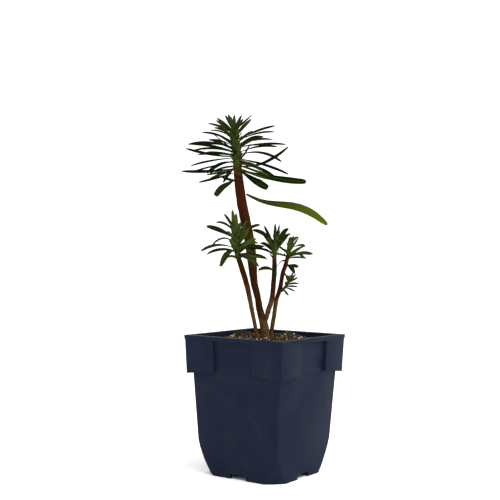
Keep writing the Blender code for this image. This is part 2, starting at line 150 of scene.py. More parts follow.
@dataclass
class Spine:
    """A smooth line through points, with a radius at each, read by a share from 0 to 1."""

    points: list[Vector]
    radii: list[float]

    @classmethod
    def of_stem(cls, node: str, count: int) -> "Spine":
        """The middle line of an upright CAD stem, cut level at even heights.

        Args:
            node: The CAD node.
            count: How many cuts to read it at.

        Returns:
            The spine, from the foot up.
        """
        end_gap = 0.9 * MM
        mesh = merged_copy(node)
        low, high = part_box(node)
        points, radii = [], []
        for step in range(count):
            height = blend(low.z + end_gap, high.z - end_gap, step / (count - 1))
            middle, reach = cut_through(mesh, Vector((0, 0, height)), UP)
            points.append(middle)
            radii.append(reach)
        mesh.free()
        for index in range(count):
            before = points[max(index - 1, 0)]
            after = points[min(index + 1, count - 1)]
            lean = abs((after - before).normalized().z)
            radii[index] *= (1 + lean) / 2
        return cls(points, radii)

    @classmethod
    def of_leaf(cls, node: str, stem_point: Vector, count: int) -> "Spine":
        """The middle line of a CAD leaf from its foot to its tip.

        Args:
            node: The CAD node.
            stem_point: A point near the leaf's foot.
            count: How many cuts to read it at.

        Returns:
            The spine, whose radii are about a quarter of the blade's width.
        """
        end_share = 0.03
        mesh = merged_copy(node)
        places = [v.co.copy() for v in mesh.verts]
        tip = max(places, key=lambda p: (p - stem_point).length)
        foot = max(places, key=lambda p: (p - tip).length)
        along = (tip - foot).normalized()
        length = (tip - foot).length
        points, radii = [], []
        for step in range(count):
            place = foot + along * blend(end_share, 1 - end_share, step / (count - 1)) * length
            middle, reach = cut_through(mesh, place, along)
            points.append(middle)
            radii.append(reach)
        mesh.free()
        end = points[-1] + (points[-1] - points[-2]).normalized() * end_share * length
        return cls(points + [end], radii + [radii[-1]])

    def at(self, share: float) -> Vector:
        """Read the smooth curve through the points.

        Args:
            share: How far along it, from 0 to 1.

        Returns:
            The point there.
        """
        place = min(max(share, 0.0), 1.0) * (len(self.points) - 1)
        index = min(int(place), len(self.points) - 2)
        local = place - index
        p0 = self.points[max(index - 1, 0)]
        p1, p2 = self.points[index], self.points[index + 1]
        p3 = self.points[min(index + 2, len(self.points) - 1)]
        return (
            p1
            + (p2 - p0) * (0.5 * local)
            + (2 * p0 - 5 * p1 + 4 * p2 - p3) * (0.5 * local**2)
            + (3 * p1 - p0 - 3 * p2 + p3) * (0.5 * local**3)
        )

    def direction(self, share: float) -> Vector:
        """Read the line's direction.

        Args:
            share: How far along it, from 0 to 1.

        Returns:
            The unit direction there.
        """
        ahead = min(share + 0.01, 1.0)
        behind = max(share - 0.01, 0.0)
        return (self.at(ahead) - self.at(behind)).normalized()

    def radius(self, share: float) -> float:
        """Read the line's radius.

        Args:
            share: How far along it, from 0 to 1.

        Returns:
            The radius there.
        """
        place = min(max(share, 0.0), 1.0) * (len(self.radii) - 1)
        index = min(int(place), len(self.radii) - 2)
        return blend(self.radii[index], self.radii[index + 1], place - index)

    def share_at_height(self, height: float) -> float:
        """Find where an upright line passes a height, by halving.

        Args:
            height: The height.

        Returns:
            The share of the line there.
        """
        low, high = 0.0, 1.0
        halvings = 24
        for _ in range(halvings):
            middle = (low + high) / 2
            if self.at(middle).z < height:
                low = middle
            else:
                high = middle
        return (low + high) / 2

    def grown(self, end: Vector, radius: float) -> "Spine":
        """The same line carried on to one more point."""
        return Spine(self.points + [end], self.radii + [radius])

    def length(self) -> float:
        """The length of the line."""
        return sum((b - a).length for a, b in zip(self.points, self.points[1:]))


# ---- Finishes ----

Colour = tuple[float, float, float]


class NodeSheet:
    """A material's node tree, with short ways to add and join its nodes."""

    def __init__(self, name: str) -> None:
        """Start a material with only its shader and output.

        Args:
            name: The material's name.
        """
        self.material = bpy.data.materials.new(name)
        self.material.use_nodes = True
        self.tree = self.material.node_tree
        self.shader = self.tree.nodes["Principled BSDF"]

    def add(self, kind: str, **settings: object) -> bpy.types.Node:
        """Add a node and set its properties or, by their names, its inputs.

        Args:
            kind: The node's type name.
            settings: Properties, or inputs written with underscores for spaces.

        Returns:
            The node.
        """
        node = self.tree.nodes.new(kind)
        for key, value in settings.items():
            if hasattr(node, key):
                setattr(node, key, value)
            else:
                node.inputs[key.replace("_", " ")].default_value = value
        return node

    def link(self, output: bpy.types.NodeSocket, target: bpy.types.NodeSocket) -> None:
        """Join an output to an input."""
        self.tree.links.new(output, target)

    def places(self) -> bpy.types.NodeSocket:
        """The piece's own coordinates."""
        return self.add("ShaderNodeTexCoord").outputs["Object"]

    def uv(self) -> tuple[bpy.types.NodeSocket, bpy.types.NodeSocket]:
        """Read the piece's UV map.

        Returns:
            The values across and along.
        """
        coordinates = self.add("ShaderNodeTexCoord")
        apart = self.add("ShaderNodeSeparateXYZ")
        self.link(coordinates.outputs["UV"], apart.inputs[0])
        return apart.outputs[0], apart.outputs[1]

    def attribute(self, name: str) -> bpy.types.NodeSocket:
        """The value of a piece's own attribute."""
        return self.add("ShaderNodeAttribute", attribute_name=name).outputs["Fac"]

    def stretched(self, scale: tuple[float, float, float]) -> bpy.types.NodeSocket:
        """Scale the piece's own coordinates along each axis.

        Args:
            scale: The three scales.

        Returns:
            The scaled coordinates.
        """
        mapping = self.add("ShaderNodeMapping")
        mapping.inputs["Scale"].default_value = scale
        self.link(self.places(), mapping.inputs["Vector"])
        return mapping.outputs["Vector"]

    def noise(self, scale: float, detail: float = 3.0, rough: float = 0.5,
              vector: bpy.types.NodeSocket | None = None) -> bpy.types.NodeSocket:
        """Cloudy noise over the piece's own coordinates.

        Args:
            scale: Cells in a metre.
            detail: Octaves.
            rough: Weight of the fine octaves.
            vector: Other coordinates to read, if any.

        Returns:
            The noise value.
        """
        cloud = self.add("ShaderNodeTexNoise", Scale=scale, Detail=detail, Roughness=rough)
        self.link(vector or self.places(), cloud.inputs["Vector"])
        return cloud.outputs["Fac"]

    def ramp(self, value: bpy.types.NodeSocket,
             stops: list[tuple[float, Colour]]) -> bpy.types.NodeSocket:
        """A colour read from a value through stops.

        Args:
            value: The value.
            stops: Position and colour pairs, in order.

        Returns:
            The colour.
        """
        ramp = self.add("ShaderNodeValToRGB")
        band = ramp.color_ramp
        for index, (place, colour) in enumerate(stops):
            stop = band.elements[index] if index < 2 else band.elements.new(place)
            stop.position = place
            stop.color = (*colour, 1)
        self.link(value, ramp.inputs["Fac"])
        return ramp.outputs["Color"]

    def spread(self, value: bpy.types.NodeSocket, low: float, high: float,
               to_low: float = 0.0, to_high: float = 1.0) -> bpy.types.NodeSocket:
        """Map a value from one range to another and hold it inside.

        Args:
            value: The value.
            low: The first range's start.
            high: Its end.
            to_low: The second range's start.
            to_high: Its end.

        Returns:
            The mapped value.
        """
        ranged = self.add("ShaderNodeMapRange")
        for key, number in zip(("From Min", "From Max", "To Min", "To Max"),
                               (low, high, to_low, to_high)):
            ranged.inputs[key].default_value = number
        self.link(value, ranged.inputs["Value"])
        return ranged.outputs["Result"]

    def math(self, operation: str, first: bpy.types.NodeSocket,
             second: bpy.types.NodeSocket | float) -> bpy.types.NodeSocket:
        """Take a sum, product or other step on two values.

        Args:
            operation: The Math node's operation.
            first: The first value.
            second: The second value, or a plain number.

        Returns:
            The result.
        """
        step = self.add("ShaderNodeMath", operation=operation)
        self.link(first, step.inputs[0])
        if isinstance(second, float):
            step.inputs[1].default_value = second
        else:
            self.link(second, step.inputs[1])
        return step.outputs[0]

    def mix(self, share: bpy.types.NodeSocket, first: bpy.types.NodeSocket | Colour,
            second: bpy.types.NodeSocket | Colour) -> bpy.types.NodeSocket:
        """Mix two colours.

        Args:
            share: How much of the second one.
            first: The first colour.
            second: The second colour.

        Returns:
            The mixed colour.
        """
        mixer = self.add("ShaderNodeMix", data_type="RGBA")
        self.link(share, mixer.inputs[0])
        for source, socket in ((first, mixer.inputs[6]), (second, mixer.inputs[7])):
            if isinstance(source, tuple):
                socket.default_value = (*source, 1)
            else:
                self.link(source, socket)
        return mixer.outputs[2]

    def bump(self, height: bpy.types.NodeSocket, depth: float) -> None:
        """Give the shader a bump.

        Args:
            height: The relief.
            depth: Its depth in metres.
        """
        bumped = self.add("ShaderNodeBump", Strength=1.0, Distance=depth)
        self.link(height, bumped.inputs["Height"])
        self.link(bumped.outputs["Normal"], self.shader.inputs["Normal"])

    def colour(self, socket: bpy.types.NodeSocket) -> None:
        """Feed the shader's base colour."""
        self.link(socket, self.shader.inputs["Base Color"])

    def roughness(self, socket: bpy.types.NodeSocket) -> None:
        """Feed the shader's roughness."""
        self.link(socket, self.shader.inputs["Roughness"])

    def specular(self, level: float) -> None:
        """Set how much the surface mirrors face on."""
        self.shader.inputs["Specular IOR Level"].default_value = level


@dataclass(frozen=True)
class MouldedPlastic:
    """Dark navy pot plastic, a little dusty, with fine scuffs, a grained skin, and painted shade
    that darkens the walls inside the pot.
    """

    base: Colour = (0.0090, 0.0126, 0.0255)
    dusty: Colour = (0.0155, 0.0168, 0.0265)
    deep: Colour = (0.0070, 0.0104, 0.0230)
    # Painted shade: the dark colour that the walls inside the pot are darkened towards.
    painted_inner_shade: Colour = (0.0025, 0.0038, 0.0080)
    specular: float = 0.02

    def material(self) -> bpy.types.Material:
        """Make the material's nodes.

        Returns:
            The material.
        """
        sheet = NodeSheet("pot_plastic")
        clouds = sheet.noise(38.0, 4.0, 0.55)
        body = sheet.ramp(clouds, [(0.3, self.deep), (0.55, self.base), (0.8, self.dusty)])
        streaks = sheet.noise(1.0, 4.0, 0.6, sheet.stretched((260.0, 260.0, 22.0)))
        worn = sheet.mix(sheet.spread(streaks, 0.58, 0.78, 0.0, 0.35), body, self.dusty)
        specks = sheet.noise(900.0, 2.0, 0.5)
        dotted = sheet.mix(sheet.spread(specks, 0.68, 0.8, 0.0, 0.5), worn, self.dusty)
        # Painted shade: walls marked "inner", which face the pot's axis, are darkened towards the
        # painted shade colour.
        painted_inner_shade = sheet.math("MULTIPLY", sheet.attribute("inner"), 0.75)
        sheet.colour(sheet.mix(painted_inner_shade, dotted, self.painted_inner_shade))
        sheet.roughness(sheet.spread(clouds, 0.3, 0.8, 0.42, 0.62))
        sheet.specular(self.specular)
        grain = sheet.noise(2600.0, 2.0, 0.6)
        sheet.bump(sheet.math("ADD", grain, sheet.math("MULTIPLY", streaks, 0.8)), 0.05 * MM)
        return sheet.material


@dataclass(frozen=True)
class PeatSoil:
    """Damp peat: dark fibres and crumbs."""

    dark: Colour = (0.005, 0.003, 0.0015)
    brown: Colour = (0.017, 0.010, 0.0045)
    pale: Colour = (0.050, 0.031, 0.015)

    def material(self) -> bpy.types.Material:
        """Make the material's nodes.

        Returns:
            The material.
        """
        sheet = NodeSheet("peat_soil")
        crumbs = sheet.noise(420.0, 5.0, 0.65)
        patches = sheet.noise(90.0, 3.0, 0.5)
        mixed = sheet.math("ADD", sheet.math("MULTIPLY", crumbs, 0.7),
                           sheet.math("MULTIPLY", patches, 0.3))
        sheet.colour(sheet.ramp(mixed, [(0.38, self.dark), (0.52, self.brown), (0.68, self.pale)]))
        sheet.roughness(sheet.spread(crumbs, 0.3, 0.7, 0.85, 1.0))
        sheet.specular(0.03)
        sheet.bump(sheet.noise(1500.0, 4.0, 0.6), 0.4 * MM)
        return sheet.material


@dataclass(frozen=True)
class MineralGrain:
    """Chalky grains: white perlite or woody chips, by their two colours."""

    name: str
    light: Colour
    shade: Colour

    def material(self) -> bpy.types.Material:
        """Make the material's nodes.

        Returns:
            The material.
        """
        sheet = NodeSheet(self.name)
        tone = sheet.noise(500.0, 3.0, 0.6)
        sheet.colour(sheet.ramp(tone, [(0.35, self.shade), (0.62, self.light)]))
        sheet.roughness(sheet.spread(tone, 0.3, 0.7, 0.8, 0.95))
        sheet.specular(0.03)
        sheet.bump(sheet.noise(2500.0, 3.0, 0.6), 0.15 * MM)
        return sheet.material


@dataclass(frozen=True)
class StemBark:
    """Stem skin whose colour runs up the stem through stops, with dark leaf scars."""

    name: str
    stops: tuple[tuple[float, Colour], ...]
    scar: Colour = (0.010, 0.004, 0.002)

    def material(self) -> bpy.types.Material:
        """Make the material's nodes.

        Returns:
            The material.
        """
        sheet = NodeSheet(self.name)
        _, along = sheet.uv()
        wander = sheet.noise(160.0, 3.0, 0.55)
        place = sheet.math("ADD", along, sheet.spread(wander, 0.25, 0.75, -0.05, 0.05))
        skin = sheet.ramp(place, list(self.stops))
        fibres = sheet.noise(1.0, 4.0, 0.6, sheet.stretched((1500.0, 1500.0, 160.0)))
        darker = sheet.mix(sheet.spread(fibres, 0.35, 0.7, 0.45, 0.0), skin, self.scar)
        blotch = sheet.noise(420.0, 3.0, 0.6)
        blotched = sheet.mix(sheet.spread(blotch, 0.52, 0.72, 0.0, 0.55), darker, self.scar)
        scarred = sheet.mix(sheet.attribute("scar"), blotched, self.scar)
        sheet.colour(scarred)
        sheet.roughness(sheet.spread(fibres, 0.3, 0.7, 0.55, 0.8))
        sheet.specular(0.005)
        sheet.bump(fibres, 0.18 * MM)
        return sheet.material


@dataclass(frozen=True)
class LeafSkin:
    """A leaf: bright where it is young or near its foot, dark and cool where it is old."""

    name: str
    young: Colour
    old: Colour
    foot: Colour
    rib: Colour
    fade: Colour

    def material(self) -> bpy.types.Material:
        """Make the material's nodes.

        Returns:
            The material.
        """
        sheet = NodeSheet(self.name)
        across, along = sheet.uv()
        mottle = sheet.noise(320.0, 3.0, 0.55)
        age = sheet.math("ADD", sheet.attribute("age"), sheet.spread(mottle, 0.3, 0.7, -0.1, 0.1))
        blade = sheet.ramp(age, [(0.0, self.young), (1.0, self.old)])
        based = sheet.mix(sheet.spread(along, 0.02, 0.34, 0.8, 0.0), blade, self.foot)
        off_centre = sheet.math("ABSOLUTE", sheet.math("SUBTRACT", across, 0.5), 0.0)
        rib = sheet.mix(sheet.spread(off_centre, 0.03, 0.1, 0.6, 0.0), based, self.rib)
        tipped = sheet.mix(sheet.math("MULTIPLY", sheet.attribute("fade"),
                                      sheet.spread(along, 0.3, 1.0)), rib, self.fade)
        sheet.colour(tipped)
        sheet.roughness(sheet.spread(mottle, 0.3, 0.7, 0.42, 0.6))
        sheet.specular(0.0)
        veins = sheet.noise(900.0, 2.0, 0.5)
        sheet.bump(veins, 0.08 * MM)
        return sheet.material


# ---- The pot ----


@dataclass
class NurseryPot:
    """The square pot, its CAD walls given softened edges and corners.

    Attributes:
        finish: The plastic.
        edge: Width of the softened edges.
        flat_angle: Facets closer than this many degrees count as one flat face.
        sharp_angle: Edges bent by more than this many degrees are softened.
        facing_in: How squarely a wall must face the pot's axis to count as an inner one.
    """

    finish: MouldedPlastic = field(default_factory=MouldedPlastic)
    edge: float = 0.45 * MM
    flat_angle: float = 1.2
    sharp_angle: float = 28.0
    facing_in: float = 0.6

    def build(self) -> None:
        """Model the pot and stand it in for the CAD one."""
        mesh = merged_copy("pot")
        bmesh.ops.dissolve_limit(
            mesh, angle_limit=math.radians(self.flat_angle), verts=mesh.verts, edges=mesh.edges
        )
        bend = math.radians(self.sharp_angle)
        sharp = [e for e in mesh.edges if len(e.link_faces) == 2 and e.calc_face_angle(0) > bend]
        bmesh.ops.bevel(
            mesh, geom=sharp, offset=self.edge, offset_type="OFFSET", affect="EDGES",
            segments=2, profile=0.5, material=-1, clamp_overlap=True,
        )
        bmesh.ops.triangulate(mesh, faces=[f for f in mesh.faces if len(f.verts) > 4])
        self.mark_inner(mesh)
        pot = finish_mesh(mesh, "nursery_pot", self.finish.material(), 32)
        attach(pot, "navy_plastic", "pot")

    def mark_inner(self, mesh: bmesh.types.BMesh) -> None:
        """Write 1 in the layer "inner" at the vertices of walls that face the pot's axis, the mask
        of the painted shade inside the pot.

        Args:
            mesh: The pot's mesh.
        """
        low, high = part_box("pot")
        axis = (low + high) / 2
        inner = mesh.verts.layers.float.new("inner")
        mesh.normal_update()
        for face in mesh.faces:
            inward = axis - face.calc_center_median()
            inward.z = 0
            if face.normal.dot(inward.normalized()) > self.facing_in:
                for vertex in face.verts:
                    vertex[inner] = 1


# ---- The soil ----


@dataclass
class SoilBed:
    """The soil: a crumbly mound with perlite grains and bark chips on it.

    Attributes:
        grid: Faces along one side of the surface.
        crumb: Height of the crumbs.
        layers: Cell size, share of the crumbs' height, and slice, of each layer of roughness.
        perlite: How many white grains lie on it.
        chips: How many bark chips lie on it.
        seed: Seed of every random draw.
        inset: Clearance to the pot's wall.
        sunk: Depth of the middle below the CAD solid's crown.
        fall: How much lower the surface is at the walls.
        heaps: Place from the middle, and height, of each heap.
        heap_reach: Radius of a heap.
        clearance: How far the highest crumb may stand over the CAD solid.
        foot: Width of the underside, as a share of the surface's.
    """

    grid: int = 90
    crumb: float = 1.2 * MM
    layers: tuple[tuple[float, float, float], ...] = (
        (9 * MM, 1.1, 0.3),
        (2.4 * MM, 0.8, 1.7),
        (1.0 * MM, 0.35, 4.1),
    )
    perlite: int = 95
    chips: int = 420
    seed: int = 7
    inset: float = 0.25 * MM
    sunk: float = 3.0 * MM
    fall: float = 3.0 * MM
    heaps: tuple[tuple[float, float, float], ...] = (
        (-56 * MM, 26 * MM, 5.6 * MM),
        (-2 * MM, 53 * MM, 4.6 * MM),
        (-30 * MM, -38 * MM, 1.5 * MM),
        (44 * MM, 10 * MM, 1.6 * MM),
    )
    heap_reach: float = 17 * MM
    clearance: float = 0.6 * MM
    foot: float = 0.93

    def __post_init__(self) -> None:
        """Read the space that the soil fills from its CAD solid."""
        self.low, self.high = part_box("soil")
        self.centre = (self.low + self.high) / 2
        self.half = (self.high.x - self.low.x) / 2 - self.inset
        self.draws = random.Random(self.seed)

    def height(self, x: float, y: float) -> float:
        """Add up the mound, its heaps, and the clods and crumbs over them.

        Args:
            x: The point's place along X.
            y: The point's place along Y.

        Returns:
            The surface's height there.
        """
        across, back = x - self.centre.x, y - self.centre.y
        away = math.hypot(across, back) / self.half
        surface = self.high.z - self.sunk - self.fall * away**2
        for heap_x, heap_y, rise in self.heaps:
            reach = math.hypot(across - heap_x, back - heap_y) / self.heap_reach
            surface += rise * math.exp(-(reach**2))
        for cell, share, slice_height in self.layers:
            surface += noise.noise(Vector((x, y, slice_height)) / cell) * self.crumb * share
        return min(surface, self.high.z + self.clearance)

    def build(self) -> None:
        """Make the surface, the grains and the chips."""
        self.build_body()
        self.scatter("perlite_grains", self.perlite, (0.5, 1.7), (0.9, 0.75),
                     MineralGrain("perlite", (0.56, 0.52, 0.42), (0.20, 0.16, 0.11)))
        self.scatter("bark_chips", self.chips, (1.0, 4.0), (0.35, 0.28),
                     MineralGrain("bark_chip", (0.140, 0.085, 0.042), (0.014, 0.008, 0.004)))

    def build_body(self) -> None:
        """The soil's solid, whose top is a fine crumbly grid."""
        mesh = bmesh.new()
        bmesh.ops.create_grid(mesh, x_segments=self.grid, y_segments=self.grid, size=self.half)
        bmesh.ops.translate(mesh, verts=mesh.verts, vec=(self.centre.x, self.centre.y, 0))
        for vertex in mesh.verts:
            vertex.co.z = self.height(vertex.co.x, vertex.co.y)
        rim = [e for e in mesh.edges if e.is_boundary]
        skirt = bmesh.ops.extrude_edge_only(mesh, edges=rim)["geom"]
        for vertex in (g for g in skirt if isinstance(g, bmesh.types.BMVert)):
            vertex.co.x = self.centre.x + (vertex.co.x - self.centre.x) * self.foot
            vertex.co.y = self.centre.y + (vertex.co.y - self.centre.y) * self.foot
            vertex.co.z = self.centre.z
        bmesh.ops.holes_fill(mesh, edges=[e for e in mesh.edges if e.is_boundary], sides=0)
        bmesh.ops.recalc_face_normals(mesh, faces=mesh.faces)
        soil = finish_mesh(mesh, "soil_bed", PeatSoil().material(), 80)
        attach(soil, "peat", "soil")

    def scatter(self, name: str, count: int, sizes: tuple[float, float],
                flat: tuple[float, float], finish: MineralGrain) -> None:
        """Lay crumbs of one kind evenly over the surface, most of them small.

        Args:
            name: The piece's name.
            count: How many crumbs.
            sizes: Least and greatest half size, in mm.
            flat: The crumb's width and thickness, as shares of its length.
            finish: The crumbs' material.
        """
        mesh = bmesh.new()
        for _ in range(count):
            size = blend(*sizes, self.draws.random() ** 2.2) * MM
            reach = self.half - size * 1.3
            x = self.centre.x + self.draws.uniform(-1, 1) * reach
            y = self.centre.y + self.draws.uniform(-1, 1) * reach
            crumb = bmesh.ops.create_icosphere(mesh, subdivisions=1, radius=size)["verts"]
            turn = Matrix.Rotation(self.draws.uniform(0, math.tau), 4, "Z")
            tip = Matrix.Rotation(self.draws.uniform(-0.6, 0.6), 4, "Y")
            for vertex in crumb:
                vertex.co *= self.draws.uniform(0.78, 1.12)
                vertex.co.y *= flat[0]
                vertex.co.z *= flat[1]
            place = Vector((x, y, self.height(x, y) + size * flat[1] * 0.35))
            bmesh.ops.transform(mesh, verts=crumb, matrix=Matrix.Translation(place) @ turn @ tip)
        piece = finish_mesh(mesh, name, finish.material(), 30)
        attach(piece, "peat")


# ---- Stems ----


@dataclass
class Stem:
    """One stem: a knobbly tube with the scars of fallen leaves.

    Attributes:
        name: The stem's name, as in its CAD node.
        bark: Its skin.
        bud: How far the stem carries on above its CAD solid, into its growing tip.
        sides: Faces round the stem.
        ring_step: Distance between its rings of vertices.
        scar_step: Distance between leaf scars up the stem.
        scar_top: Share of the stem above which no leaf has fallen.
        scar_relief: How far the shelf under a full scar stands out.
        swell: Its thickness, as a share of the faceted CAD solid's.
        knobbles: Height of its lumps, as a share of its radius.
        seed: Seed of its random draws.
    """

    name: str
    bark: StemBark
    bud: float
    sides: int = 20
    ring_step: float = 1.3 * MM
    scar_step: float = 2.6 * MM
    scar_top: float = 0.95
    scar_relief: float = 0.22 * MM
    swell: float = 1.15
    knobbles: float = 0.07
    seed: int = 1

    def __post_init__(self) -> None:
        """Read the stem's middle line from its CAD solid."""
        low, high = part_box(self.node)
        solid = Spine.of_stem(self.node, max(6, round((high.z - low.z) / (9 * MM))))
        heading = solid.direction(1.0)
        end = solid.at(1.0) + heading * self.bud
        self.spine = solid.grown(end, solid.radius(1.0) * 0.45)
        self.scars = self.scar_places()

    @property
    def node(self) -> str:
        """The name of the stem's CAD node."""
        return f"{self.name}_stem"

    def scar_places(self) -> list[tuple[float, float, float]]:
        """Wind the leaf scars up the stem on a spiral.

        Returns:
            Turn, share along the stem and strength of each.
        """
        draws = random.Random(self.seed)
        length = self.spine.length()
        count = int(length * self.scar_top / self.scar_step)
        return [
            (
                (index * GOLDEN_ANGLE + draws.uniform(-0.25, 0.25)) % math.tau,
                (index + draws.uniform(0, 1)) * self.scar_step / length,
                draws.uniform(0.35, 1.0),
            )
            for index in range(count)
        ]

    def scar_at(self, turn: float, share: float, length: float) -> tuple[float, float]:
        """Read what the scars near a point on the skin do to it.

        Args:
            turn: The point's turn round the stem, in radians.
            share: Its share along the stem.
            length: The stem's length.

        Returns:
            How much it is lifted, and darkened.
        """
        lift, dark = 0.0, 0.0
        for scar_turn, scar_share, strength in self.scars:
            rise = (share - scar_share) * length
            if abs(rise) > 4 * MM:
                continue
            across = (turn - scar_turn + math.pi) % math.tau - math.pi
            across *= self.spine.radius(share)
            spot = math.exp(-((across / (1.5 * MM)) ** 2) - (rise / (0.8 * MM)) ** 2)
            shelf = math.exp(-((across / (1.9 * MM)) ** 2) - ((rise + 1.0 * MM) / (1.1 * MM)) ** 2)
            lift += shelf * strength
            dark = max(dark, spot * strength)
        return lift, dark

    def build(self) -> None:
        """Model the stem and stand it in for the CAD one."""
        length = self.spine.length()
        rings = max(8, round(length / self.ring_step))
        mesh = bmesh.new()
        uv = mesh.loops.layers.uv.new("UVMap")
        scar = mesh.verts.layers.float.new("scar")
        bmesh.ops.create_cone(mesh, cap_ends=True, cap_tris=False, segments=self.sides,
                              radius1=1, radius2=1, depth=1)
        uprights = [e for e in mesh.edges if abs(e.verts[0].co.z - e.verts[1].co.z) > 0.5]
        bmesh.ops.subdivide_edges(mesh, edges=uprights, cuts=rings, use_grid_fill=True)
        for vertex in mesh.verts:
            turn = math.atan2(vertex.co.y, vertex.co.x)
            share = vertex.co.z + 0.5
            for loop in vertex.link_loops:
                loop[uv].uv = (turn / math.tau + 0.5, share)
            radius = self.spine.radius(share)
            lift, dark = self.scar_at(turn, share, length)
            place = self.spine.at(share)
            cell = place / (7 * MM) + Vector((turn, 0, self.seed))
            thickness = self.swell + noise.noise(cell) * self.knobbles
            heading = self.spine.direction(share)
            side = heading.cross(Vector((0, 1, 0))).normalized()
            front = heading.cross(side)
            outward = side * math.cos(turn) + front * math.sin(turn)
            vertex[scar] = min(1.0, dark)
            vertex.co = place + outward * (radius * thickness + lift * self.scar_relief)
        bmesh.ops.recalc_face_normals(mesh, faces=mesh.faces)
        stem = finish_mesh(mesh, f"{self.name}_stem_skin", self.bark.material(), 75)
        attach(stem, "bark", self.node)


# ---- Leaves ----


class Tip(Enum):
    """How a leaf ends: the greater the value, the longer its point."""

    POINTED = 1.0
    BLUNT = 0.45
    ROUND = 0.25


@dataclass
class Blade:
    """One leaf: a thin folded strip along a spine.

    Attributes:
        spine: Its midrib, from the stem out.
        width: Its greatest width.
        age: 0 for a new leaf to 1 for an old one.
        fade: How far its outer part has yellowed.
        fold: Height of its edges over the rib, as a share of half its width.
        twist: Turn about the rib at its foot and at its tip, in degrees.
        peak: Where it is widest, as a share of its length.
        neck: Width of its foot, as a share of its greatest width.
        tip: How it ends.
        lengths: Faces along it.
    """

    spine: Spine
    width: float
    age: float = 0.6
    fade: float = 0.0
    fold: float = 0.3
    twist: tuple[float, float] = (0.0, 0.0)
    peak: float = 0.6
    neck: float = 0.36
    tip: Tip = Tip.POINTED
    lengths: int = 13

    def half_width(self, share: float) -> float:
        """Read the blade's outline.

        Args:
            share: How far along it, from 0 to 1.

        Returns:
            Half its width there.
        """
        if share < self.peak:
            swell = math.sin(share / self.peak * math.pi / 2) ** 1.5
            return self.width / 2 * blend(self.neck, 1, swell)
        fall = (share - self.peak) / (1 - self.peak)
        narrowed = (1 - fall**2) ** (0.35 + 0.65 * self.tip.value)
        return self.width / 2 * max(narrowed, 0.05)

    def add_to(self, mesh: bmesh.types.BMesh) -> None:
        """Add the blade's faces to a mesh.

        Args:
            mesh: A mesh that has the layers of leaf_mesh.
        """
        uv = mesh.loops.layers.uv["UVMap"]
        age = mesh.verts.layers.float["age"]
        fade = mesh.verts.layers.float["fade"]
        grown = bmesh.ops.create_grid(mesh, x_segments=4, y_segments=self.lengths, size=1)
        out = self.spine.points[-1] - self.spine.points[0]
        level = Vector((-out.y, out.x, 0)).normalized()
        for vertex in grown["verts"]:
            across = vertex.co.x
            share = (vertex.co.y + 1) / 2
            for loop in vertex.link_loops:
                loop[uv].uv = (across / 2 + 0.5, share)
            vertex[age] = self.age
            vertex[fade] = self.fade
            heading = self.spine.direction(share)
            roll = math.radians(blend(self.twist[0], self.twist[1], share))
            side = Matrix.Rotation(roll, 3, heading) @ level
            side = (side - heading * side.dot(heading)).normalized()
            above = heading.cross(side)
            if above.dot(Matrix.Rotation(roll, 3, heading) @ UP) < 0:
                above.negate()
            half = self.half_width(share)
            lift = (abs(across) ** 1.4) * half * self.fold
            vertex.co = self.spine.at(share) + side * across * half + above * lift


def leaf_mesh() -> bmesh.types.BMesh:
    """Start a mesh with the layers that leaves write: UV map, age and fade.

    Returns:
        The empty mesh.
    """
    mesh = bmesh.new()
    mesh.loops.layers.uv.new("UVMap")
    mesh.verts.layers.float.new("age")
    mesh.verts.layers.float.new("fade")
    return mesh


def finish_leaves(mesh: bmesh.types.BMesh, name: str,
                  material: bpy.types.Material) -> bpy.types.Object:
    """Turn leaf strips into an object whose strips have a thickness.

    Args:
        mesh: The strips, which are freed here.
        name: The object's name.
        material: The strips' material.

    Returns:
        The new object.
    """
    leaves = finish_mesh(mesh, name, material, 70)
    wall = leaves.modifiers.new("thickness", "SOLIDIFY")
    wall.thickness = LEAF_THICKNESS
    wall.offset = 0
    return leaves


def arched_spine(foot: Vector, compass: float, rise: float, length: float,
                 droop: float) -> Spine:
    """The rib of a leaf that leaves its stem one way and bends down under its weight.

    Args:
        foot: Where it starts.
        compass: The way it grows, seen from above, in radians from +X.
        rise: Its slope at the foot, in radians.
        length: Its length.
        droop: How far its tip hangs below a straight leaf's.

    Returns:
        The rib.
    """
    out = Vector((math.cos(compass) * math.cos(rise), math.sin(compass) * math.cos(rise),
                  math.sin(rise)))
    points = [foot + out * length * t - UP * droop * t**2 for t in (0, 0.2, 0.4, 0.6, 0.8, 1)]
    return Spine(points, [0.0] * len(points))


@dataclass(frozen=True)
class LeafHabit:
    """How one long leaf lies and looks.

    Attributes:
        age: 0 for a new leaf to 1 for an old one.
        fade: How far its outer part has yellowed.
        twist: Turn about the rib at its foot and at its tip, in degrees.
        widen: Its width, as a share of its CAD solid's.
        tip: How it ends.
        fold: Height of its edges over the rib, as a share of half its width.
        slot: Its material slot.
    """

    age: float = 0.8
    fade: float = 0.0
    twist: tuple[float, float] = (0.0, 0.0)
    widen: float = 1.0
    tip: Tip = Tip.POINTED
    fold: float = 0.3
    slot: str = "leaf_green"


@dataclass(frozen=True)
class Sprig:
    """A leaf of a tip: where it leaves its stem and how it grows, in mm and degrees.

    Attributes:
        height: Its foot's height over the floor.
        compass: The way it grows, seen from above, from +X.
        rise: Its slope at the foot.
        length: Its length.
        droop: How far its tip hangs below a straight leaf's.
        width: Its greatest width.
        age: 0 for a new leaf to 1 for an old one.
        turn: Its twist at the tip, or 0 for a random one.
        tip: How it ends.
    """

    height: float
    compass: float
    rise: float
    length: float
    droop: float
    width: float = 4.2
    age: float = 0.6
    turn: float = 0.0
    tip: Tip = Tip.BLUNT


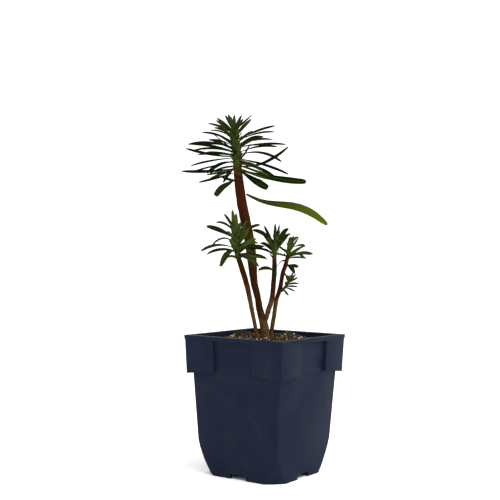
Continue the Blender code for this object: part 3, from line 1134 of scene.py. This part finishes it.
@dataclass
class Crown:
    """The leaves of one stem: those of the CAD model, its tip's, and the short ones below it.

    Attributes:
        stem: The stem that bears them.
        skin: The leaves' material.
        sheaths: How many short upright leaves sheathe the stem under its tip.
        sheath_reach: Height over which they stand, below the stem's end.
        sheath_length: Least and greatest length of them.
        sheath_width: Greatest width of them.
        sprigs: The tip's leaves.
        habits: Named leaves that differ.
        age: Of its uppermost long leaf, from 0 to 1.
        slender: Width of its long leaves, as a share of their CAD solids' width.
        seed: Seed of its random draws.
        rooted: How far a long leaf's foot is carried back towards the stem's middle.
    """

    stem: Stem
    skin: bpy.types.Material
    sheaths: int
    sheath_reach: float
    sheath_length: tuple[float, float]
    sheath_width: float
    sprigs: list[Sprig] = field(default_factory=list)
    habits: dict[str, LeafHabit] = field(default_factory=dict)
    age: float = 0.7
    slender: float = 0.9
    seed: int = 3
    rooted: float = 2.6 * MM

    def __post_init__(self) -> None:
        """Find the CAD leaves that grow on this stem."""
        self.draws = random.Random(self.seed)
        prefix = f"{self.stem.name}_leaf_"
        self.nodes = sorted(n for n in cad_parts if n.startswith(prefix) or n in self.habits)

    def build(self) -> None:
        """Model every leaf of the crown."""
        for node in self.nodes:
            self.build_leaf(node)
        self.build_young()

    def build_leaf(self, node: str) -> None:
        """Model one leaf on its CAD solid's middle line, its foot carried back to the stem.

        Args:
            node: The CAD node.
        """
        low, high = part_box(node)
        near = self.stem.spine.at(self.stem.spine.share_at_height((low.z + high.z) / 2))
        rib = Spine.of_leaf(node, near, 8)
        foot = rib.points[0]
        back = (rib.points[0] - rib.points[1]).normalized()
        rib.points.insert(0, foot + back * self.rooted)
        rib.radii.insert(0, rib.radii[0])
        stem_high = self.stem.spine.points[-1].z
        depth = (stem_high - foot.z) / (stem_high - self.stem.spine.points[0].z)
        habit = self.habits.get(node)
        if habit is None:
            turn = self.draws.choice((-1, 1)) * self.draws.uniform(28, 60)
            habit = LeafHabit(age=min(1.0, self.age + depth), twist=(turn * 0.5, turn),
                              widen=self.slender * self.draws.uniform(0.88, 1.12),
                              fold=self.draws.uniform(0.15, 0.4))
        width = max(rib.radii) * 4 * habit.widen
        mesh = leaf_mesh()
        Blade(rib, width, habit.age, habit.fade, habit.fold, habit.twist, tip=habit.tip).add_to(mesh)
        leaf = finish_leaves(mesh, f"{node}_blade", self.skin)
        attach(leaf, habit.slot, node)

    def build_young(self) -> None:
        """Model the tip's leaves and the sheathing ones, and stand them in for the CAD tip."""
        mesh = leaf_mesh()
        for sprig in self.sprigs:
            foot = self.stem.spine.at(self.stem.spine.share_at_height(sprig.height * MM))
            rib = arched_spine(foot, math.radians(sprig.compass), math.radians(sprig.rise),
                               sprig.length * MM, sprig.droop * MM)
            turn = sprig.turn or self.draws.choice((-1, 1)) * self.draws.uniform(30, 60)
            Blade(rib, sprig.width * MM, sprig.age, fold=0.25, twist=(turn * 0.6, turn), peak=0.5,
                  neck=0.65, lengths=10, tip=sprig.tip).add_to(mesh)
        self.add_sheaths(mesh)
        tip = finish_leaves(mesh, f"{self.stem.name}_young_leaves", self.skin)
        attach(tip, "young_green", f"{self.stem.name}_tip")

    def add_sheaths(self, mesh: bmesh.types.BMesh) -> None:
        """Add the short leaves that hug the stem, whose feet overlap like scales.

        Args:
            mesh: The tip's mesh.
        """
        spine = self.stem.spine
        top = spine.points[-1].z
        for index in range(self.sheaths):
            share = index / max(self.sheaths - 1, 1)
            foot = spine.at(spine.share_at_height(top - self.sheath_reach * share))
            rise = math.radians(blend(84, 58, share**0.5) + self.draws.uniform(-6, 6))
            length = blend(*self.sheath_length, min(1.0, share * 2.5)) * blend(1, 0.7, share)
            length *= self.draws.uniform(0.85, 1.15)
            rib = arched_spine(foot, index * GOLDEN_ANGLE + self.seed, rise, length, length * 0.08)
            width = self.sheath_width * self.draws.uniform(0.8, 1.1)
            age = blend(0.3, 0.0, min(1, share * 2)) + self.draws.uniform(-0.1, 0.15)
            Blade(rib, width, age, fold=-0.25, twist=(0, 0), peak=0.55, neck=0.75, lengths=6,
                  tip=Tip.BLUNT).add_to(mesh)


# ---- The studio ----


@dataclass
class Studio:
    """A pale floor and sky, a soft light, and the camera, all set out from the pot.

    Attributes:
        azimuth: The way the camera looks, in degrees from +Y towards -X.
        distance: From the camera to the pot's axis, along that way.
        sideways: How far the camera stands to the right of the pot's axis.
        eye: The camera's height.
        roll: The camera's tilt about its own axis, in degrees.
        lens: Its focal length in mm on a 36 mm sensor.
        key_place: The soft light, to the right of the pot's axis, beyond it, and over the floor.
        key_aim: Height that it faces.
        key_size: The side of its square.
        key_power: Its power in watts.
        sky: Strength of the even light from all round.
    """

    azimuth: float = 35.15
    distance: float = 1.1066
    sideways: float = -0.0190
    eye: float = 0.2525
    roll: float = 0.6
    lens: float = 69.88
    key_place: tuple[float, float, float] = (1.1, -0.8, 1.9)
    key_aim: float = 0.18
    key_size: float = 2.0
    key_power: float = 50.0
    sky: float = 1.35

    def build(self) -> None:
        """Make the floor, the lights and the camera."""
        low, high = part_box("pot")
        self.axis = Vector(((low.x + high.x) / 2, (low.y + high.y) / 2, 0))
        turn = math.radians(self.azimuth)
        self.right = Vector((math.cos(turn), math.sin(turn), 0))
        self.ahead = Vector((-math.sin(turn), math.cos(turn), 0))
        self.build_floor()
        self.build_sky()
        self.build_key_light()
        self.build_camera()

    def build_floor(self) -> None:
        """A wide pale floor."""
        sheet = NodeSheet("pale_floor")
        tone = sheet.noise(3.0, 2.0, 0.5)
        sheet.colour(sheet.ramp(tone, [(0.3, (0.96, 0.96, 0.96)), (0.7, (0.98, 0.98, 0.98))]))
        sheet.shader.inputs["Roughness"].default_value = 0.9
        sheet.specular(0.0)
        mesh = bmesh.new()
        bmesh.ops.create_grid(mesh, x_segments=8, y_segments=8, size=12)
        floor = finish_mesh(mesh, "floor", sheet.material)

    def build_sky(self) -> None:
        """An even pale light from all round."""
        world = bpy.data.worlds.new("studio")
        bpy.context.scene.world = world
        world.use_nodes = True
        sky = world.node_tree.nodes["Background"]
        sky.inputs["Color"].default_value = (1, 1, 1, 1)
        sky.inputs["Strength"].default_value = self.sky
        bpy.context.scene.view_settings.view_transform = "Standard"

    def build_key_light(self) -> None:
        """A square soft light that faces the plant."""
        data = bpy.data.lights.new("key_light", "AREA")
        data.shape = "SQUARE"
        data.size = self.key_size
        data.energy = self.key_power
        light = bpy.data.objects.new("key_light", data)
        right, ahead, height = self.key_place
        light.location = self.axis + self.right * right + self.ahead * ahead + UP * height
        aim = self.axis + UP * self.key_aim - light.location
        light.rotation_euler = aim.to_track_quat("-Z", "Y").to_euler()
        bpy.context.scene.collection.objects.link(light)

    def build_camera(self) -> None:
        """The camera, looking level past the plant's left and rolled a little."""
        data = bpy.data.cameras.new("camera")
        data.lens = self.lens
        data.sensor_width = 36
        data.dof.use_dof = False
        camera = bpy.data.objects.new("camera", data)
        place = self.axis + self.right * self.sideways - self.ahead * self.distance
        level = Matrix.Rotation(math.radians(self.azimuth), 4, "Z")
        upright = Matrix.Rotation(math.radians(90), 4, "X")
        tilt = Matrix.Rotation(math.radians(self.roll), 4, "Z")
        camera.matrix_world = Matrix.Translation(place + UP * self.eye) @ level @ upright @ tilt
        bpy.context.scene.collection.objects.link(camera)
        bpy.context.scene.camera = camera


# ---- The whole plant ----

TAN: Colour = (0.105, 0.054, 0.018)
RUST: Colour = (0.040, 0.0120, 0.0018)
DEEP_RED: Colour = (0.040, 0.008, 0.003)
STEM_GREEN: Colour = (0.0075, 0.0150, 0.0016)
LEAF_BASE_GREEN: Colour = (0.044, 0.054, 0.010)
KHAKI: Colour = (0.068, 0.050, 0.010)

# The tips' leaves: height, compass, rise, length and droop, then width, age and turn
MAIN_SPRIGS = [
    Sprig(386, -169, 28, 38, 5),
    Sprig(381, -143, 41, 32, 10, 3.2, 0.85, 60),
    Sprig(379, -138, 37, 36, 12, 3.2, 0.9, -50),
    Sprig(367, 24, 46, 48, 20, 4.4, 0.9, 70),
    Sprig(360, -95, 3, 50, 2, age=0.95),
    Sprig(348, 171, 4, 46, 9, age=0.95),
    Sprig(331, -169, 5, 24, -4, age=0.95),
    Sprig(387, -21, 44, 24, -4, 3.6, 0.75),
    Sprig(388, 29, 41, 28, -1, 3.2, 0.8, 60, Tip.POINTED),
    Sprig(381, 57, 52, 34, 4, 4.4, 0.75, 65),
    Sprig(386, -150, 45, 29, 3, 4.4, 0.5, 60),
    Sprig(384, -165, 42, 31, 3, 4.0, 0.55, -60),
    Sprig(388, -140, 62, 22, 1, 4.4, 0.45, 60),
    Sprig(387, -105, 66, 22, 0, 4.4, 0.45, 20),
    Sprig(389, -50, 76, 18, 0, 4.0, 0.45, 10),
    Sprig(386, 30, 70, 24, 2, 4.0, 0.65, -70),
    Sprig(386, 150, 64, 24, 1, 3.8, 0.55),
    Sprig(384, 90, 55, 30, 4, 3.8, 0.65),
    Sprig(379, -60, 48, 26, 6, 4.0, 0.55),
    Sprig(374, -30, 40, 28, 8, 4.0, 0.65, 40),
    Sprig(376, -130, 50, 27, 3, 4.4, 0.45, 50),
    Sprig(370, -150, 44, 27, 5, 4.4, 0.5, -50),
    Sprig(372, 40, 48, 30, 5, 4.0, 0.75, 60),
    Sprig(366, 10, 40, 34, 9, 4.0, 0.8, -60),
    Sprig(366, -110, 22, 40, 4, 3.6, 0.85),
    Sprig(361, -150, 8, 46, 6, 3.4, 0.85),
    Sprig(370, 33, 30, 50, 16, 3.8, 0.9, 60),
    Sprig(352, 10, -8, 36, 5, 3.8, 0.25, 50),
    Sprig(350, 28, -18, 40, 1, 3.8, 0.3, -50),
    Sprig(347, 22, -26, 42, -4, 3.6, 0.3, 50),
    Sprig(353, -5, 0, 34, 8, 3.8, 0.25, 50),
    Sprig(349, 46, -14, 44, 0, 3.4, 0.4, 40),
    Sprig(351, 18, 6, 30, 12, 3.2, 0.3, 60),
    Sprig(344, 50, -30, 34, -6, 3.2, 0.45, 50),
    Sprig(346, -150, -20, 34, 0, 3.6, 0.3, 60),
]
LEFT_SPRIGS = [
    Sprig(272, -159, 64, 30, 6, 4.6, 0.6, 65),
    Sprig(272, -140, 50, 34, 15, 3.8, 0.75, 50),
    Sprig(262, -100, 82, 37, 1, 6.4, 0.2, 10),
    Sprig(260, -40, 85, 34, 0, 6.4, 0.15, 10),
    Sprig(256, 20, 68, 34, 2, 6.0, 0.25, 75),
    Sprig(258, -140, 76, 26, 1, 5.6, 0.1, 30),
    Sprig(254, 20, 58, 28, 1, 6.0, 0.1, 80),
    Sprig(268, -28, 19, 40, -5, 4.8, 0.65, 60),
    Sprig(247, 26, 50, 27, 4, 6.2, 0.05, 75),
    Sprig(251, 10, 38, 31, 5, 6.6, 0.1, 75),
    Sprig(252, 25, 18, 34, 6, 5.6, 0.75, -60),
    Sprig(244, 12, 15, 36, 10, 6.0, 0.35, 65),
    Sprig(246, 5, 4, 28, 14, 5.6, 0.45, 60),
    Sprig(253, 33, 46, 36, 19, 4.8, 0.45, 50),
    Sprig(245, -60, 30, 24, 10, 6.0, 0.15, 30),
    Sprig(250, -90, 52, 24, 4, 5.6, 0.05, 20),
    Sprig(241, -112, 39, 34, 28, 4.4, 0.45, 50),
    Sprig(266, 100, 56, 28, 5, 4.8, 0.55),
    Sprig(262, 150, 40, 30, 8, 4.8, 0.65),
]
MIDDLE_SPRIGS = [
    Sprig(252, -145, 68, 34, 3, 4.2, 0.8, 65),
    Sprig(250, -142, 60, 34, 4, 3.8, 0.85, -60),
    Sprig(254, -60, 84, 29, 0, 4.0, 0.75, 15),
    Sprig(254, 25, 80, 28, 0, 3.8, 0.7, 65),
    Sprig(252, 30, 62, 30, 2, 3.8, 0.75, 65),
    Sprig(250, 45, 54, 28, 2, 3.6, 0.75, -65),
    Sprig(248, -100, 62, 26, 4, 4.2, 0.4, 20),
    Sprig(246, -50, 54, 24, 5, 4.2, 0.35, 20),
    Sprig(246, 155, 34, 34, 12, 3.6, 0.75),
    Sprig(256, 100, 60, 28, 5, 3.6, 0.65),
]
RIGHT_SPRIGS = [
    Sprig(248, 30, 74, 23, 0, 3.4, 0.25, 65),
    Sprig(248, 40, 60, 23, 1, 3.4, 0.3, -60),
    Sprig(247, 40, 38, 26, 5, 3.2, 0.45, 55),
    Sprig(246, 35, 20, 28, 8, 3.2, 0.55, 50),
    Sprig(245, 20, 38, 19, 2, 3.6, 0.15, 65),
    Sprig(243, 30, 14, 23, 5, 3.2, 0.45, 55),
    Sprig(248, -150, 42, 21, 2, 3.2, 0.35, 60),
    Sprig(245, -155, 22, 18, 3, 3.2, 0.35, -55),
    Sprig(250, -60, 60, 20, 3, 3.6, 0.1, 15),
    Sprig(247, -80, 40, 19, 5, 3.6, 0.15, 15),
    Sprig(258, 87, 54, 28, 13, 3.2, 0.45),
    Sprig(246, 78, 25, 34, 18, 3.0, 0.65),
    Sprig(240, -78, 11, 32, 13, 3.4, 0.65),
    Sprig(254, 120, 58, 22, 4, 3.6, 0.35),
]
SIDE_SPRIGS = [
    Sprig(215, 90, 42, 14, -3, 3.0, 0.65, 40),
    Sprig(215, 32, 50, 14, 0, 3.0, 0.65, 60),
    Sprig(215, 32, 34, 14, 1, 3.0, 0.7, -60),
    Sprig(213, 32, 22, 15, 4, 2.8, 0.75, 60),
    Sprig(211, 33, 8, 14, 2, 2.8, 0.8, 55),
    Sprig(210, 40, -12, 12, 2, 2.8, 0.8, 50),
    Sprig(216, -69, 60, 11, 1, 3.0, 0.45, 10),
    Sprig(214, -60, 30, 10, 2, 3.0, 0.45, 10),
    Sprig(217, -150, 64, 12, 1, 2.8, 0.65, 60),
    Sprig(208, -10, -40, 11, 0, 2.6, 0.8, 50),
]
ODD_LEAVES = {
    "long_left_leaf": LeafHabit(age=1.0, twist=(25, 45)),
    "broad_dark_leaf": LeafHabit(age=0.95, twist=(25, 66), fold=0.1, widen=1.2,
                                 tip=Tip.BLUNT),
    "spoon_leaf": LeafHabit(age=0.92, twist=(25, 70), tip=Tip.ROUND, widen=1.15, fold=0.1),
    "drooping_leaf": LeafHabit(age=0.8, twist=(30, 75), tip=Tip.ROUND, fold=0.1),
    "long_yellow_leaf": LeafHabit(age=0.75, fade=0.95, twist=(25, 72), fold=0.1,
                                  slot="fading_leaf"),
}


def plan_stems() -> list[Stem]:
    """Set out the stems, each with the colours that run up it.

    Returns:
        The main, left, middle, right and side stems.
    """
    main_bark = StemBark("main_bark", (
        (0.0, TAN), (0.14, TAN), (0.2, RUST), (0.4, RUST), (0.465, KHAKI), (0.505, KHAKI),
        (0.55, RUST), (0.8, DEEP_RED), (0.85, LEAF_BASE_GREEN),
    ))
    left_bark = StemBark("left_bark", (
        (0.0, TAN), (0.4, TAN), (0.55, RUST), (0.74, RUST), (0.8, LEAF_BASE_GREEN),
    ))
    middle_bark = StemBark("middle_bark", (
        (0.0, TAN), (0.2, TAN), (0.34, DEEP_RED), (0.45, DEEP_RED), (0.5, STEM_GREEN),
        (0.7, STEM_GREEN), (0.76, DEEP_RED), (0.84, LEAF_BASE_GREEN),
    ))
    right_bark = StemBark("right_bark", (
        (0.0, TAN), (0.38, TAN), (0.5, DEEP_RED), (0.65, RUST), (0.85, RUST),
        (0.92, LEAF_BASE_GREEN),
    ))
    side_bark = StemBark("side_bark", ((0.0, TAN), (0.3, LEAF_BASE_GREEN)))
    return [
        Stem("main", main_bark, bud=15 * MM, sides=28, scar_step=1.9 * MM, scar_top=0.86,
             swell=1.06, seed=2),
        Stem("left", left_bark, bud=11 * MM, seed=3),
        Stem("middle", middle_bark, bud=10 * MM, seed=5),
        Stem("right", right_bark, bud=8 * MM, seed=8),
        Stem("side", side_bark, bud=5 * MM, sides=12, seed=9),
    ]


def plan_crowns(stems: list[Stem]) -> list[Crown]:
    """Set out the leaves of each stem.

    Args:
        stems: The main, left, middle, right and side stems.

    Returns:
        Their crowns, in the same order.
    """
    green = LeafSkin("leaf_skin", young=(0.044, 0.066, 0.013), old=(0.0020, 0.0052, 0.0010),
                     foot=(0.038, 0.048, 0.010), rib=(0.020, 0.032, 0.006),
                     fade=(0.062, 0.078, 0.0015)).material()
    main, left, middle, right, side = stems
    return [
        Crown(main, green, sheaths=96, sheath_reach=52 * MM, sheath_length=(8 * MM, 20 * MM),
              sheath_width=4.6 * MM, sprigs=MAIN_SPRIGS, habits=ODD_LEAVES, age=0.85,
              slender=0.74, seed=3),
        Crown(left, green, sheaths=28, sheath_reach=31 * MM, sheath_length=(10 * MM, 16 * MM),
              sheath_width=5.4 * MM, sprigs=LEFT_SPRIGS,
              habits={"left_leaf_01": LeafHabit(age=0.9, twist=(35, 62))}, age=0.6,
              slender=0.95, seed=4),
        Crown(middle, green, sheaths=16, sheath_reach=22 * MM, sheath_length=(7 * MM, 14 * MM),
              sheath_width=4.0 * MM, sprigs=MIDDLE_SPRIGS,
              habits={"middle_leaf_06": LeafHabit(age=0.85, twist=(35, 60))}, age=0.8,
              slender=0.9, seed=5),
        Crown(right, green, sheaths=16, sheath_reach=20 * MM, sheath_length=(6 * MM, 12 * MM),
              sheath_width=3.2 * MM, sprigs=RIGHT_SPRIGS, age=0.6, slender=0.85, seed=6),
        Crown(side, green, sheaths=8, sheath_reach=9 * MM, sheath_length=(5 * MM, 8 * MM),
              sheath_width=2.8 * MM, sprigs=SIDE_SPRIGS, age=0.7, slender=0.9, seed=7),
    ]


def main() -> None:
    """Build the plant, piece by piece, and the studio round it."""
    logging.basicConfig(level=logging.INFO, format="%(name)s: %(message)s")
    NurseryPot().build()
    log.info("pot")
    SoilBed().build()
    log.info("soil")
    stems = plan_stems()
    for stem in stems:
        stem.build()
        log.info("%s stem", stem.name)
    for crown in plan_crowns(stems):
        crown.build()
        log.info("%s crown, %d long leaves", crown.stem.name, len(crown.nodes))
    Studio().build()
    log.info("studio")


if __name__ == "__main__":
    main()
